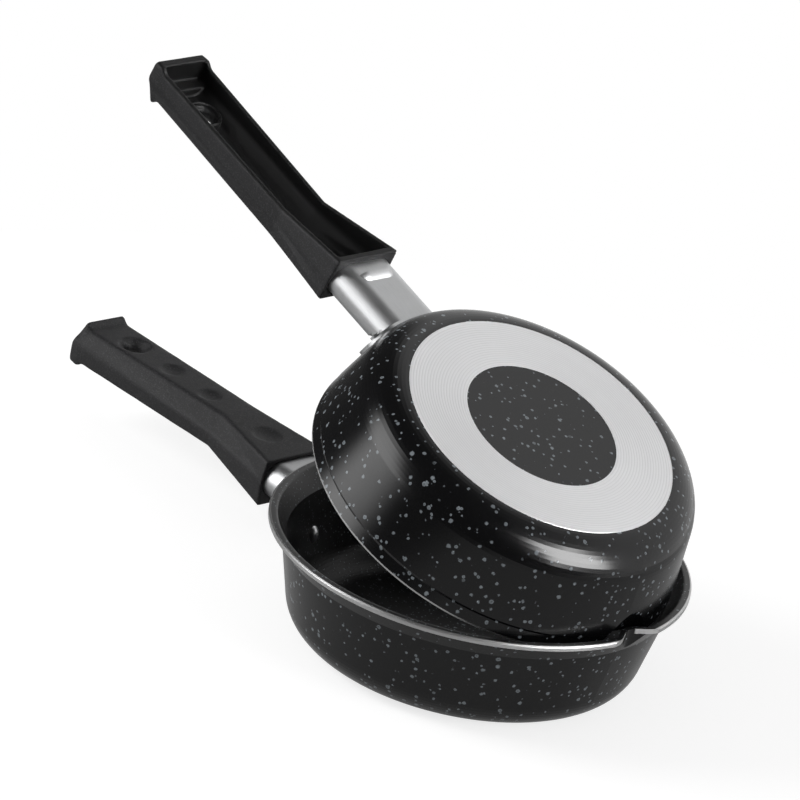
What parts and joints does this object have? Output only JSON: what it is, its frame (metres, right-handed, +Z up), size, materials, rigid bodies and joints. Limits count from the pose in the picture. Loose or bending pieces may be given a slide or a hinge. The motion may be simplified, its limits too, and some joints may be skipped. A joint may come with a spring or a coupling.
{
  "type": "double sided flip pan",
  "caption": "Two nesting non-stick pans with channel handles that close rim to rim and open about a notch pressed in the rims on the far side from the handles.",
  "frame": {"origin": "middle of the lower pan's base, in the plane it stands on", "axes": "+Z up, handles towards -X, hinge line along +Y at the far side"},
  "size_m": [0.3652, 0.194, 0.1952],
  "materials": {
    "coated_pan": "black non-stick coating with pale specks, bare turned ring on the base and bare turned rim edge",
    "bracket_steel": "plated pressed steel",
    "rivet_metal": "satin, domed",
    "ferrule_steel": "bright drawn steel",
    "handle_moulding": "black moulded phenolic, fine texture",
    "screw_steel": "zinc plated"
  },
  "bodies": {
    "lower": {"lower_pan": "coated_pan", "lower_bracket": "bracket_steel", "lower_rivets": "rivet_metal", "lower_ferrule": "ferrule_steel", "lower_handle": "handle_moulding", "lower_screw": "screw_steel", "lower_lock_washer": "screw_steel"},
    "upper": {"upper_pan": "coated_pan", "upper_bracket": "bracket_steel", "upper_rivets": "rivet_metal", "upper_ferrule": "ferrule_steel", "upper_handle": "handle_moulding", "upper_screw": "screw_steel", "upper_lock_washer": "screw_steel"}
  },
  "joints": [
    {"name": "pan_hinge", "type": "hinge", "parent": "lower", "child": "upper", "pos_m": [0.08101, 0, 0.0528], "axis": [0, 0.9984, 0.0558], "range_deg": [-21, 19]}
  ]
}
